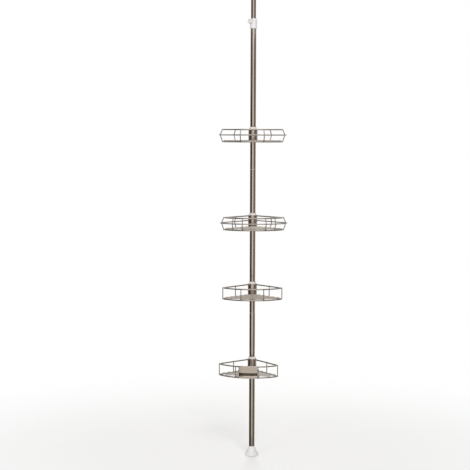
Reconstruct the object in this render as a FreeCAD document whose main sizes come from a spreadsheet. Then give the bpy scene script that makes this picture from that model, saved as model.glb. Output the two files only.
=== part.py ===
import FreeCAD, Part
import math
import os
import re
import Sketcher

# Tension pole shelf unit: a sprung pole between floor and ceiling that carries four corner baskets.
# The origin is on the pole's axis at the underside of the floor pad. +Z runs up the pole and the
# baskets' fronts face -Y.

# Driving sizes, in millimetres, or in degrees where a name says angle or turn.
sizes = {
    # gaps: between pieces that move on each other, and between pieces seated in one another
    "running_gap": 0.05,
    "seat_gap": 0.05,
    # floor and ceiling ends
    "cone_height": 41.0,
    "cone_neck_width": 28.0,
    "cone_neck_height": 7.0,
    "cone_neck_flare": 1.0,
    "cone_neck_edge": 0.6,
    "flange_width": 60.0,
    "flange_height": 5.5,
    "flange_edge": 2.0,
    "socket_floor": 7.0,
    "pad_width": 54.0,
    "pad_height": 3.0,
    "pad_recess": 1.5,
    "pad_groove": 1.2,
    # wide pole: three tubes joined by couplers
    "tube_width": 25.0,
    "tube_wall": 0.8,
    "tube_length": 640.0,
    "coupler_length": 80.0,
    "coupler_bore": 12.0,
    "coupler_rib": 0.6,
    "plug_edge": 1.0,
    # lock collar and its knob
    "collar_width": 30.5,
    "collar_height": 43.0,
    "collar_socket": 25.75,
    "collar_edge": 1.5,
    "boss_width": 17.0,
    "boss_reach": 18.0,
    "screw_drop": 13.0,
    "screw_width": 6.0,
    "screw_edge": 0.6,
    "screw_socket": 6.0,
    "shoe_width": 8.0,
    "shoe_height": 2.0,
    "screw_travel": 1.5,
    "knob_width": 22.0,
    "knob_depth": 9.5,
    "knob_edge": 1.6,
    "knob_notches": 8.0,
    "notch_width": 4.0,
    "notch_depth": 1.2,
    "knob_turn": 50.0,
    # narrow pole, and the guide plug on its foot
    "rod_width": 22.0,
    "rod_wall": 0.8,
    "rod_length": 779.5,
    "rod_overlap": 400.0,
    "guide_rim": 15.0,
    "guide_spigot": 15.0,
    "guide_bore": 12.0,
    # sprung top end
    "plunger_travel": 30.0,
    "plunger_standoff": 1.0,
    "plunger_inside": 70.0,
    "plunger_bore": 13.0,
    "stop_pin_width": 4.0,
    "stop_pin_drop": 45.0,
    "spring_length": 60.0,
    "spring_width": 18.0,
    "spring_wire": 2.2,
    "spring_turns": 5.0,
    "seat_length": 12.0,
    # baskets, seen from above: two straight sides that meet on the pole and a round front
    "basket_reach": 184.0,
    "side_angle": 45.0,
    "corner_bend": 15.0,
    "rail_wire": 6.0,
    "outer_wire": 5.0,
    "post_wire": 4.0,
    "floor_wire": 3.5,
    "brace_wire": 5.0,
    "plain_height": 48.0,
    "towel_height": 52.0,
    "outer_rail_height": 29.0,
    "outer_rail_offset": 20.0,
    "front_post_angle": 15.0,
    "next_post_angle": 28.0,
    "side_post_reach": 100.0,
    "first_floor_wire": 36.0,
    "floor_pitch": 20.0,
    "floor_wires": 8.0,
    # hub ring, and the tapered sleeve that it wedges on
    "hub_width": 40.0,
    "sleeve_foot_width": 35.0,
    "sleeve_taper": 0.03,
    "sleeve_foot": 2.0,
    "sleeve_head": 8.0,
    "sleeve_slit_angle": 3.0,
    # front plate, rolled over the top rail
    "plate_wall": 0.8,
    "plate_angle": 12.6,
    "plate_shift_angle": 1.6,
    # where each basket's bottom rail sits on the pole, and how far it is swung to its left
    "shelf1_level": 1412.0,
    "shelf2_level": 1032.5,
    "shelf3_level": 730.0,
    "shelf4_level": 392.0,
    "shelf1_turn": -0.9,
    "shelf2_turn": 2.0,
    "shelf3_turn": 0.0,
    "shelf4_turn": -7.0,
}

doc = FreeCAD.newDocument("TensionPoleShelf")
sheet = doc.addObject("Spreadsheet::Sheet", "Sizes")
for row, (alias, number) in enumerate(sizes.items(), start=1):
    sheet.set(f"A{row}", alias)
    sheet.set(f"B{row}", str(number))
    sheet.setAlias(f"B{row}", alias)
doc.recompute()

# Heights on the pole's axis, worked out from the floor up.
tube_radius = "tube_width / 2"
bore_radius = "(tube_width / 2 - tube_wall)"
rod_radius = "rod_width / 2"
rod_bore_radius = "(rod_width / 2 - rod_wall)"
cone_lift = "(pad_height - pad_recess)"
lower_foot = f"({cone_lift} + socket_floor)"
lower_joint = f"({lower_foot} + tube_length)"
middle_foot = f"({lower_joint} + coupler_rib)"
upper_joint = f"({middle_foot} + tube_length)"
upper_foot = f"({upper_joint} + coupler_rib)"
upper_head = f"({upper_foot} + tube_length)"
collar_foot = f"({upper_head} + seat_gap - collar_socket)"
collar_head = f"({collar_foot} + collar_height)"
screw_level = f"({collar_head} - screw_drop)"
rod_foot = f"({collar_head} - rod_overlap)"
rod_head = f"({rod_foot} + rod_length)"
plunger_foot = f"({rod_head} - plunger_inside)"
pin_level = f"({rod_head} - stop_pin_drop)"
spring_foot = f"({plunger_foot} - spring_length)"
neck_level = f"({rod_head} + plunger_travel + plunger_standoff)"
plunger_head = f"({neck_level} + cone_height - socket_floor)"
ceiling_level = f"({neck_level} + cone_height + {cone_lift})"


# ---- formulas, sketches and solids ----

def cells(formula):
    """The formula with each size's name turned into its cell in the sheet."""
    return re.sub(r"[a-z][a-z0-9_]*", lambda word: ("Sizes." if word[0] in sizes else "") + word[0], formula)


def value(formula):
    result = sheet.evalExpression(cells(formula))
    return float(getattr(result, "Value", result))


def bind(item, prop, formula):
    item.setExpression(prop, cells(formula))


def at(x, y, z):
    return f"placement(vector({x}; {y}; {z}); rotation(vector(0; 0; 1); 0))"


def turned(angle, axis="0; 0; 1"):
    return f"placement(vector(0; 0; 0); rotation(vector({axis}); {angle}))"


def new_body(label, place):
    body = doc.addObject("PartDesign::Body", label)
    body.Label = label
    bind(body, "Placement", place)
    return body


def base_plane(body, role):
    return next(item for item in body.Origin.OriginFeatures if item.Role == role)


def new_sketch(body, role, offset=None):
    sketch = body.newObject("Sketcher::SketchObject", body.Name + "_sketch")
    sketch.AttachmentSupport = (base_plane(body, role), [""])
    sketch.MapMode = "FlatFace"
    if offset:
        bind(sketch, "AttachmentOffset", offset)
    return sketch


def fix(sketch, kind, *place, to):
    """A dimension of the sketch that follows the formula."""
    number = sketch.addConstraint(Sketcher.Constraint(kind, *place, value(to)))
    bind(sketch, f"Constraints[{number}]", to)


def fix_point(sketch, line, end, x, y):
    """Ties a point to the sketch's origin, or to its axis where the distance is nought."""
    for kind, axis, formula in (("DistanceX", -2, x), ("DistanceY", -1, y)):
        if formula == "0":
            sketch.addConstraint(Sketcher.Constraint("PointOnObject", line, end, axis))
        else:
            fix(sketch, kind, -1, 1, line, end, to=formula)


def draw_circle(sketch, x, y, radius):
    centre = FreeCAD.Vector(value(x), value(y), 0)
    circle = sketch.addGeometry(Part.Circle(centre, FreeCAD.Vector(0, 0, 1), value(radius)), False)
    fix_point(sketch, circle, 3, x, y)
    fix(sketch, "Radius", circle, to=radius)


def draw_lines(sketch, points, closed=True):
    """Straight lines from point to point, each point given as its two formulas."""
    spots = [FreeCAD.Vector(value(x), value(y), 0) for x, y in points]
    spans = list(zip(spots, spots[1:] + spots[:1]))
    if not closed:
        spans.pop()
    lines = [sketch.addGeometry(Part.LineSegment(*span), False) for span in spans]
    for line, after in zip(lines, lines[1:]):
        sketch.addConstraint(Sketcher.Constraint("Coincident", line, 2, after, 1))
    if closed:
        sketch.addConstraint(Sketcher.Constraint("Coincident", lines[-1], 2, lines[0], 1))
    for line, (x, y) in zip(lines, points):
        fix_point(sketch, line, 1, x, y)
    if not closed:
        fix_point(sketch, lines[-1], 2, *points[-1])


def revolve(body, points, kind="Revolution", angle="360"):
    """Turns a profile of radii and heights about the body's own Z axis."""
    sketch = new_sketch(body, "XZ_Plane")
    draw_lines(sketch, points)
    feature = body.newObject("PartDesign::" + kind, body.Name + "_" + kind.lower())
    feature.Profile = sketch
    feature.ReferenceAxis = (sketch, ["V_Axis"])
    bind(feature, "Angle", angle)
    return feature


def pad(body, sketch, length, both_ways=False):
    feature = body.newObject("PartDesign::Pad", body.Name + "_pad")
    feature.Profile = sketch
    feature.Midplane = both_ways
    bind(feature, "Length", length)
    return feature


def pocket(body, sketch, length, both_ways=False, reverse=False):
    feature = body.newObject("PartDesign::Pocket", body.Name + "_pocket")
    feature.Profile = sketch
    feature.Midplane = both_ways
    feature.Reversed = reverse
    bind(feature, "Length", length)
    return feature


def pipe(body, profile, spine):
    feature = body.newObject("PartDesign::AdditivePipe", body.Name + "_pipe")
    feature.Profile = profile
    feature.Spine = (spine, [f"Edge{n + 1}" for n in range(spine.GeometryCount)])
    feature.Transition = "Right corner"
    return feature


def mirror(body, features):
    """Repeats the features on the other side of the YZ plane."""
    feature = body.newObject("PartDesign::Mirrored", body.Name + "_mirror")
    feature.Originals = features
    feature.MirrorPlane = (base_plane(body, "YZ_Plane"), [""])
    body.Tip = feature


def rod(name, width, length, place):
    """A straight wire, standing on its own Z axis."""
    wire = doc.addObject("Part::Cylinder", name)
    bind(wire, "Radius", f"{width} / 2")
    bind(wire, "Height", length)
    bind(wire, "Placement", place)
    return wire


def group(label, wires, place):
    """Several like wires kept together as one sub-part."""
    bunch = doc.addObject("Part::Compound", label)
    bunch.Label = label
    bunch.Links = wires
    bind(bunch, "Placement", place)
    return bunch


# ---- floor and ceiling ends ----

def pad_disc(label, place):
    """Rubber disc with a raised ring round its grip face, which points down in its own frame."""
    body = new_body(label, place)
    groove_out = "(pad_width / 2 - 2 * pad_groove)"
    groove_in = "(pad_width / 2 - 4 * pad_groove)"
    revolve(body, [
        ("0", "0"), (groove_in, "0"), (groove_in, "pad_groove / 2"), (groove_out, "pad_groove / 2"),
        (groove_out, "0"), ("pad_width / 2", "0"), ("pad_width / 2", "pad_height"), ("0", "pad_height"),
    ])
    return body


def end_cone(label, post_radius, place):
    """Plastic cone with an upright rim: a recess for the pad below, a socket for the post above."""
    body = new_body(label, place)
    recess = "(pad_width / 2 + seat_gap)"
    socket = f"({post_radius} + seat_gap)"
    revolve(body, [
        ("0", "pad_recess"),
        (recess, "pad_recess"),
        (recess, "0"),
        ("flange_width / 2 - flange_edge / 2", "0"),
        ("flange_width / 2", "flange_edge / 2"),
        ("flange_width / 2", "flange_height - flange_edge"),
        ("flange_width / 2 - flange_edge / 2", "flange_height"),
        ("cone_neck_width / 2 + cone_neck_flare", "cone_height - cone_neck_height"),
        ("cone_neck_width / 2", "cone_height - cone_neck_edge"),
        ("cone_neck_width / 2 - cone_neck_edge", "cone_height"),
        (socket, "cone_height"),
        (socket, "socket_floor"),
        ("0", "socket_floor"),
    ])
    return body


# ---- pole ----

def tube(label, width, wall, length, foot):
    body = new_body(label, at(0, 0, foot))
    sketch = new_sketch(body, "XY_Plane")
    draw_circle(sketch, "0", "0", f"{width} / 2")
    draw_circle(sketch, "0", "0", f"{width} / 2 - {wall}")
    pad(body, sketch, length)
    return body


def coupler(label, joint):
    """Plug inside two tube ends, with a thin rib that stops each of them."""
    body = new_body(label, at(0, 0, joint))
    plug = f"({bore_radius} - seat_gap)"
    low = "(-coupler_length / 2)"
    high = "(coupler_length / 2 + coupler_rib)"
    revolve(body, [
        ("coupler_bore / 2", low), (f"{plug} - plug_edge", low), (plug, f"{low} + plug_edge"),
        (plug, "0"), (tube_radius, "0"), (tube_radius, "coupler_rib"), (plug, "coupler_rib"),
        (plug, f"{high} - plug_edge"), (f"{plug} - plug_edge", high), ("coupler_bore / 2", high),
    ])
    return body


def lock_collar():
    """Collar over the head of the wide pole, bored for the narrow one, with a boss for the screw."""
    body = new_body("lock_collar", f"{at(0, 0, collar_foot)} * {turned('knob_turn')}")
    outer = "collar_width / 2"
    revolve(body, [
        ("0", "0"), (f"{outer} - collar_edge", "0"), (outer, "collar_edge"),
        (outer, "collar_height - collar_edge"), (f"{outer} - collar_edge", "collar_height"),
        ("0", "collar_height"),
    ])
    boss = new_sketch(body, "YZ_Plane")
    draw_circle(boss, "0", "collar_height - screw_drop", "boss_width / 2")
    arm = pad(body, boss, "boss_reach")
    arm.Reversed = True
    socket = f"({tube_radius} + seat_gap)"
    guide = f"({rod_radius} + running_gap)"
    revolve(body, [
        ("0", "0"), (socket, "0"), (socket, "collar_socket"), (guide, "collar_socket"),
        (guide, "collar_height"), ("0", "collar_height"),
    ], kind="Groove")
    screw_hole = new_sketch(body, "YZ_Plane")
    draw_circle(screw_hole, "0", "collar_height - screw_drop", "screw_width / 2 + running_gap")
    pocket(body, screw_hole, "boss_reach")
    shoe_hole = new_sketch(body, "YZ_Plane")
    draw_circle(shoe_hole, "0", "collar_height - screw_drop", "shoe_width / 2 + seat_gap")
    pocket(body, shoe_hole, f"{rod_radius} + 2 * running_gap + shoe_height + screw_travel")
    return body


# The knob, screw and shoe lie along the screw's axis, swung from the left toward the front: their own
# +Z points away from the pole.
screw_place = f"{at(0, 0, screw_level)} * {turned('knob_turn')} * {turned(-90, '0; 1; 0')}"
shoe_face = f"({rod_radius} + running_gap + shoe_height)"


def lock_shoe():
    """Small pad between screw and tube, hollowed to the tube's round."""
    body = new_body("lock_shoe", screw_place)
    disc = new_sketch(body, "XY_Plane")
    draw_circle(disc, "0", "0", "shoe_width / 2")
    pad(body, disc, f"{shoe_face} - running_gap")
    round_cut = new_sketch(body, "YZ_Plane")
    draw_circle(round_cut, "0", "0", f"{rod_radius} + running_gap")
    pocket(body, round_cut, "shoe_width * 2", both_ways=True)
    return body


def lock_screw():
    body = new_body("lock_screw", screw_place)
    tip = shoe_face
    head = "(boss_reach + running_gap + screw_socket)"
    revolve(body, [
        ("0", tip), ("screw_width / 2 - screw_edge", tip), ("screw_width / 2", f"{tip} + screw_edge"),
        ("screw_width / 2", head), ("0", head),
    ])
    return body


def lock_knob():
    """Round knob with notches round its rim and a blind socket for the screw."""
    body = new_body("lock_knob", screw_place)
    near = "(boss_reach + running_gap)"
    far = "(boss_reach + running_gap + knob_depth)"
    socket = "(screw_width / 2 + seat_gap)"
    rim = "(knob_width / 2)"
    revolve(body, [
        (socket, near), (f"{rim} - knob_edge / 2", near), (rim, f"{near} + knob_edge / 2"),
        (rim, f"{far} - knob_edge"), (f"{rim} - knob_edge", far), ("0", far),
        ("0", "boss_reach + running_gap + screw_socket + seat_gap"),
        (socket, "boss_reach + running_gap + screw_socket + seat_gap"),
    ])
    notch = new_sketch(body, "XY_Plane")
    draw_circle(notch, f"{rim} + notch_width / 2 - notch_depth", "0", "notch_width / 2")
    cut = pocket(body, notch, far, reverse=True)
    doc.recompute()
    ring = body.newObject("PartDesign::PolarPattern", "knob_notch_ring")
    ring.Originals = [cut]
    ring.Axis = (notch, ["N_Axis"])
    bind(ring, "Occurrences", "knob_notches")
    body.Tip = ring
    return body


def extension_tube():
    """Narrow tube, drilled through from side to side for the stop pin."""
    body = tube("extension_tube", "rod_width", "rod_wall", "rod_length", rod_foot)
    hole = new_sketch(body, "YZ_Plane")
    draw_circle(hole, "0", "rod_length - stop_pin_drop", "stop_pin_width / 2 + seat_gap")
    pocket(body, hole, "rod_width * 2", both_ways=True)
    return body


def extension_guide():
    """Plug in the foot of the narrow tube; its rim slides in the wide one."""
    body = new_body("extension_guide", at(0, 0, rod_foot))
    spigot = f"({rod_bore_radius} - seat_gap)"
    rim = f"({bore_radius} - running_gap)"
    revolve(body, [
        ("guide_bore / 2", "-guide_rim"), (f"{rim} - plug_edge", "-guide_rim"),
        (rim, "plug_edge - guide_rim"), (rim, "0"), (spigot, "0"),
        (spigot, "guide_spigot - plug_edge"), (f"{spigot} - plug_edge", "guide_spigot"),
        ("guide_bore / 2", "guide_spigot"),
    ])
    return body


# ---- sprung top end ----

def spring_seat():
    body = new_body("spring_seat", at(0, 0, f"{spring_foot} - seat_length"))
    outer = f"({rod_bore_radius} - seat_gap)"
    revolve(body, [
        ("0", "0"), (f"{outer} - plug_edge", "0"), (outer, "plug_edge"), (outer, "seat_length"),
        ("0", "seat_length"),
    ])
    return body


def tension_spring():
    """Compression spring of flat-sided wire between the seat and the plunger."""
    body = new_body("tension_spring", at(0, 0, spring_foot))
    section = new_sketch(body, "XZ_Plane")
    outer = "spring_width / 2"
    draw_lines(section, [
        (f"{outer} - spring_wire", "0"), (outer, "0"), (outer, "spring_wire"),
        (f"{outer} - spring_wire", "spring_wire"),
    ])
    coil = body.newObject("PartDesign::AdditiveHelix", "spring_coil")
    coil.Profile = section
    coil.ReferenceAxis = (section, ["V_Axis"])
    coil.Mode = "height-turns-angle"
    bind(coil, "Height", "spring_length - spring_wire")
    bind(coil, "Turns", "spring_turns")
    return body


def plunger():
    """Hollow plunger with a slot through both walls, where the stop pin limits its travel."""
    body = new_body("plunger", at(0, 0, plunger_foot))
    outer = f"({rod_bore_radius} - running_gap)"
    length = f"({plunger_head} - {plunger_foot})"
    revolve(body, [
        ("plunger_bore / 2", "0"), (outer, "0"), (outer, length), ("plunger_bore / 2", length),
    ])
    slot_half = "(stop_pin_width / 2 + running_gap)"
    slot_foot = f"({pin_level} - {plunger_foot} - {slot_half})"
    slot_head = f"({pin_level} - {plunger_foot} + plunger_travel + {slot_half})"
    slot = new_sketch(body, "YZ_Plane")
    draw_lines(slot, [
        (f"-{slot_half}", slot_foot), (slot_half, slot_foot), (slot_half, slot_head),
        (f"-{slot_half}", slot_head),
    ])
    pocket(body, slot, "rod_width * 2", both_ways=True)
    return body


def stop_pin():
    body = new_body("stop_pin", at(0, 0, pin_level))
    section = new_sketch(body, "YZ_Plane")
    draw_circle(section, "0", "0", "stop_pin_width / 2")
    pad(body, section, "rod_width", both_ways=True)
    return body


# ---- baskets ----

# Plan of a basket: the corner's bend is tangent to the round front and to the straight side.
bend_centre_reach = "(basket_reach - corner_bend)"
bend_angle = f"(side_angle * 1 deg - asin(corner_bend / {bend_centre_reach}))"
bend_x = f"({bend_centre_reach} * sin({bend_angle}))"
bend_y = f"(-{bend_centre_reach} * cos({bend_angle}))"
side_x = "sin(side_angle)"
side_y = "(-cos(side_angle))"
out_x = "cos(side_angle)"
out_y = "sin(side_angle)"
# The outer rail ends where its inner flank meets the hub.
outer_start = "(sqrt((hub_width / 2) ^ 2 - (outer_rail_offset - outer_wire / 2) ^ 2) + seat_gap)"
# A post stands against the outside of the rails.
post_offset = "(rail_wire / 2 + post_wire / 2)"


def shelf_place(shelf, height="0"):
    """A basket's frame: on the pole's axis at its bottom rail, swung by the basket's own turn."""
    return f"placement(vector(0; 0; {shelf}_level + {height}); rotation(vector(0; 0; 1); {shelf}_turn))"


def half_path(body, offset, start):
    """Right half of a rail from the middle of the front, round the corner and back to the pole."""
    sketch = new_sketch(body, "XY_Plane")
    front = f"(basket_reach + {offset})"
    bend = f"(corner_bend + {offset})"
    end_x = f"({start} * {side_x} + {offset} * {out_x})"
    end_y = f"({start} * {side_y} + {offset} * {out_y})"
    up = FreeCAD.Vector(0, 0, 1)
    origin = FreeCAD.Vector(0, 0, 0)
    centre = FreeCAD.Vector(value(bend_x), value(bend_y), 0)
    side = math.radians(value("side_angle"))
    turn = math.radians(value(bend_angle) - 90)
    touch = centre + FreeCAD.Vector(math.cos(side), math.sin(side), 0) * value(bend)
    end = FreeCAD.Vector(value(end_x), value(end_y), 0)
    arc = Part.ArcOfCircle(Part.Circle(origin, up, value(front)), -math.pi / 2, turn)
    corner = Part.ArcOfCircle(Part.Circle(centre, up, value(bend)), turn, side)
    for geometry in (arc, corner, Part.LineSegment(touch, end)):
        sketch.addGeometry(geometry, False)
    sketch.addConstraint(Sketcher.Constraint("Coincident", 0, 3, -1, 1))
    sketch.addConstraint(Sketcher.Constraint("PointOnObject", 0, 1, -2))
    sketch.addConstraint(Sketcher.Constraint("Tangent", 0, 2, 1, 1))
    sketch.addConstraint(Sketcher.Constraint("Tangent", 1, 2, 2, 1))
    fix(sketch, "Radius", 0, to=front)
    fix(sketch, "Radius", 1, to=bend)
    fix_point(sketch, 2, 2, end_x, end_y)
    number = sketch.addConstraint(Sketcher.Constraint("Angle", 2, side + math.pi / 2))
    bind(sketch, f"Constraints[{number}]", "(90 + side_angle) * 1 deg")
    return sketch


def rail(label, shelf, height, wire, offset="0", start="hub_width / 2"):
    body = new_body(label, shelf_place(shelf, height))
    path = half_path(body, offset, start)
    section = new_sketch(body, "YZ_Plane")
    draw_circle(section, f"-(basket_reach + {offset})", "0", f"{wire} / 2")
    mirror(body, [pipe(body, section, path)])
    return body


def post_spots(angles):
    """Where the right-hand posts stand on the rails' centre line, and the way that is outward there."""
    spots = [
        (f"basket_reach * sin({angle})", f"-basket_reach * cos({angle})", f"({angle} * 1 deg)")
        for angle in angles
    ]
    square_out = "((90 + side_angle) * 1 deg)"
    facing = f"(({bend_angle} + {square_out}) / 2)"
    spots.append((
        f"{bend_x} + corner_bend * sin({facing})", f"{bend_y} - corner_bend * cos({facing})", facing))
    spots.append((f"side_post_reach * {side_x}", f"side_post_reach * {side_y}", square_out))
    return spots


def straight_posts(label, shelf, height, angles):
    """Upright wires against the outside of both rails."""
    wires = []
    for number, (x, y, facing) in enumerate(post_spots(angles)):
        for side, name in ((1, "right"), (-1, "left")):
            place_x = f"{side} * ({x} + {post_offset} * sin({facing}))"
            place_y = f"{y} - {post_offset} * cos({facing})"
            place = at(place_x, place_y, "-rail_wire / 2")
            wires.append(rod(f"{label}_{name}{number}", "post_wire", f"{height} + rail_wire", place))
    return group(label, wires, shelf_place(shelf))


def bent_posts(label, shelf, height, angles):
    """Wires bent outward between the rails to carry the outer rail."""
    body = new_body(label, shelf_place(shelf))
    bulge = "(outer_rail_offset - outer_wire / 2 - post_wire / 2)"
    top = f"({height} + rail_wire / 2)"
    slant = f"atan(({bulge} - {post_offset}) / ({top} - outer_rail_height))"
    pipes = []
    for x, y, facing in post_spots(angles):
        spot = f"placement(vector({x}; {y}; 0); rotation(vector(0; 0; 1); {facing} - 90 * 1 deg))"
        path = new_sketch(body, "XY_Plane", f"{spot} * {turned(90, '1; 0; 0')}")
        draw_lines(path, [
            (post_offset, top), (bulge, "outer_rail_height"), (post_offset, "-rail_wire / 2"),
        ], closed=False)
        lean = f"placement(vector({post_offset}; 0; {top}); rotation(vector(0; 1; 0); -{slant}))"
        section = new_sketch(body, "XY_Plane", f"{spot} * {lean}")
        draw_circle(section, "0", "0", "post_wire / 2")
        pipes.append(pipe(body, section, path))
    mirror(body, pipes)
    return body


def floor_wires(label, shelf):
    """Parallel wires across the bottom rail, each trimmed to the rail's centre line."""
    wires = []
    for number in range(int(sizes["floor_wires"])):
        reach = f"(first_floor_wire + {number} * floor_pitch)"
        side = f"{reach} * tan(side_angle)"
        front = f"sqrt(basket_reach ^ 2 - {reach} ^ 2)"
        half = f"min(min({side}; {front}); {bend_x} + corner_bend)"
        across = "rotation(vector(0; 1; 0); 90)"
        place = f"placement(vector(-{half}; -{reach}; rail_wire / 2 + floor_wire / 2); {across})"
        wires.append(rod(f"{label}{number}", "floor_wire", f"2 * {half}", place))
    return group(label, wires, shelf_place(shelf))


def floor_brace(label, shelf):
    """Wire under the floor from the hub to the middle of the front."""
    body = new_body(label, shelf_place(shelf, "rail_wire / 2 - brace_wire / 2"))
    section = new_sketch(body, "XZ_Plane", at(0, 0, "hub_width / 2"))
    draw_circle(section, "0", "0", "brace_wire / 2")
    pad(body, section, "basket_reach - rail_wire / 2 - hub_width / 2")
    return body


def sleeve_radius(height):
    """Radius of the sleeve's cone at a height in the basket's frame."""
    return f"(sleeve_foot_width / 2 - sleeve_taper * ({height} + rail_wire / 2 + sleeve_foot))"


def sleeve_half(label, shelf, height, turn):
    body = new_body(label, f"{shelf_place(shelf)} * {turned(turn)}")
    bore = f"({tube_radius} + running_gap)"
    low = "(-rail_wire / 2 - sleeve_foot)"
    high = f"({height} + rail_wire / 2 + sleeve_head)"
    half = revolve(body, [
        (bore, low), (sleeve_radius(low), low), (sleeve_radius(high), high), (bore, high),
    ], angle="180 - sleeve_slit_angle")
    half.Midplane = True
    return body


def hub(label, shelf, height):
    """Steel ring, bored to the sleeve's cone, that the rails are welded to."""
    body = new_body(label, shelf_place(shelf))
    low = "(-rail_wire / 2)"
    high = f"({height} + rail_wire / 2)"
    revolve(body, [
        (f"{sleeve_radius(low)} + running_gap", low), ("hub_width / 2", low), ("hub_width / 2", high),
        (f"{sleeve_radius(high)} + running_gap", high),
    ])
    return body


def front_plate(label, shelf, height):
    """Bare curved plate in front of the rails, rolled back over the top rail."""
    body = new_body(label, f"{shelf_place(shelf)} * {turned('plate_shift_angle')}")
    sketch = new_sketch(body, "YZ_Plane")
    inner = "(rail_wire / 2 + seat_gap)"
    outer = f"({inner} + plate_wall)"
    up = FreeCAD.Vector(0, 0, 1)
    centre = FreeCAD.Vector(-value("basket_reach"), value(height), 0)
    low = -value("rail_wire") / 2

    def spot(away, z):
        return FreeCAD.Vector(centre.x + away, z, 0)

    sketch.addGeometry([
        Part.LineSegment(spot(-value(outer), low), spot(-value(outer), centre.y)),
        Part.ArcOfCircle(Part.Circle(centre, up, value(outer)), 0, math.pi),
        Part.LineSegment(spot(value(outer), centre.y), spot(value(inner), centre.y)),
        Part.ArcOfCircle(Part.Circle(centre, up, value(inner)), 0, math.pi),
        Part.LineSegment(spot(-value(inner), centre.y), spot(-value(inner), low)),
        Part.LineSegment(spot(-value(inner), low), spot(-value(outer), low)),
    ], False)
    for joined in ((0, 2, 1, 2), (1, 1, 2, 1), (2, 2, 3, 1), (3, 2, 4, 1), (4, 2, 5, 1), (5, 2, 0, 1)):
        sketch.addConstraint(Sketcher.Constraint("Coincident", *joined))
    fix_point(sketch, 1, 3, "-basket_reach", height)
    sketch.addConstraint(Sketcher.Constraint("Coincident", 1, 3, 3, 3))
    fix(sketch, "Radius", 1, to=outer)
    fix(sketch, "Radius", 3, to=inner)
    sketch.addConstraint(Sketcher.Constraint("Vertical", 0))
    sketch.addConstraint(Sketcher.Constraint("Vertical", 4))
    sketch.addConstraint(Sketcher.Constraint("Horizontal", 2))
    sketch.addConstraint(Sketcher.Constraint("Horizontal", 5))
    sketch.addConstraint(Sketcher.Constraint("Horizontal", 3, 3, 3, 1))
    fix(sketch, "DistanceY", -1, 1, 5, 1, to="-rail_wire / 2")
    turn = body.newObject("PartDesign::Revolution", "plate_turn")
    turn.Profile = sketch
    turn.ReferenceAxis = (sketch, ["V_Axis"])
    turn.Midplane = True
    bind(turn, "Angle", "2 * plate_angle")
    return body


def basket(shelf, height, angles, outer_rail):
    """One shelf: the sleeve that grips the pole and the wire basket that wedges on it."""
    parts = [
        sleeve_half(f"{shelf}_sleeve_right", shelf, height, 0),
        sleeve_half(f"{shelf}_sleeve_left", shelf, height, 180),
        hub(f"{shelf}_hub", shelf, height),
        rail(f"{shelf}_bottom_rail", shelf, "0", "rail_wire"),
        rail(f"{shelf}_top_rail", shelf, height, "rail_wire"),
        floor_wires(f"{shelf}_floor_wires", shelf),
        floor_brace(f"{shelf}_floor_brace", shelf),
    ]
    if outer_rail:
        label = f"{shelf}_outer_rail"
        parts.append(rail(
            label, shelf, "outer_rail_height", "outer_wire", "outer_rail_offset", outer_start))
        parts.append(bent_posts(f"{shelf}_posts", shelf, height, angles))
    else:
        parts.append(straight_posts(f"{shelf}_posts", shelf, height, angles))
    return parts


# ---- the assembly ----

ceiling_side = f"placement(vector(0; 0; {ceiling_level}); rotation(vector(1; 0; 0); 180))"
ceiling_cone_side = f"placement(vector(0; 0; {ceiling_level} - {cone_lift}); rotation(vector(1; 0; 0); 180))"

sub_parts = [
    pad_disc("foot_pad", at(0, 0, 0)),
    end_cone("foot_cone", tube_radius, at(0, 0, cone_lift)),
    tube("lower_tube", "tube_width", "tube_wall", "tube_length", lower_foot),
    coupler("lower_coupler", lower_joint),
    tube("middle_tube", "tube_width", "tube_wall", "tube_length", middle_foot),
    coupler("upper_coupler", upper_joint),
    tube("upper_tube", "tube_width", "tube_wall", "tube_length", upper_foot),
    lock_collar(),
    lock_shoe(),
    lock_screw(),
    lock_knob(),
    extension_tube(),
    extension_guide(),
    spring_seat(),
    tension_spring(),
    stop_pin(),
    plunger(),
    end_cone("ceiling_cone", f"({rod_bore_radius} - running_gap)", ceiling_cone_side),
    pad_disc("ceiling_pad", ceiling_side),
]
sub_parts += basket("shelf1", "towel_height", ["front_post_angle"], outer_rail=True)
sub_parts += basket("shelf2", "towel_height", ["front_post_angle", "next_post_angle"], outer_rail=True)
sub_parts += basket("shelf3", "plain_height", ["front_post_angle"], outer_rail=False)
sub_parts += basket("shelf4", "plain_height", ["front_post_angle"], outer_rail=False)
sub_parts.append(front_plate("shelf4_front_plate", "shelf4", "plain_height"))

doc.recompute()

# ---- checks and STEP files ----

for item in doc.Objects:
    if {"Invalid", "Error"} & set(item.State):
        raise RuntimeError(f"{item.Name} failed: {item.State} {item.getStatusString()}")
for item in sub_parts:
    if item.Shape.isNull() or not item.Shape.isValid():
        raise RuntimeError(f"{item.Label} has no valid shape")
    if not item.Shape.Solids:
        raise RuntimeError(f"{item.Label} holds no solid")

os.makedirs("parts", exist_ok=True)
for item in sub_parts:
    item.Shape.exportStep(f"parts/{item.Label}.step")
    print(f"{item.Label}: {len(item.Shape.Solids)} solids, {item.Shape.Volume / 1000:.2f} cm3")
print(f"{len(sub_parts)} sub-parts, {value(ceiling_level):.1f} mm tall")
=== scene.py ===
from math import asin, cos, pi, radians, sin, sqrt, tan

import bmesh
import bpy
from mathutils import Matrix, Vector


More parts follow.
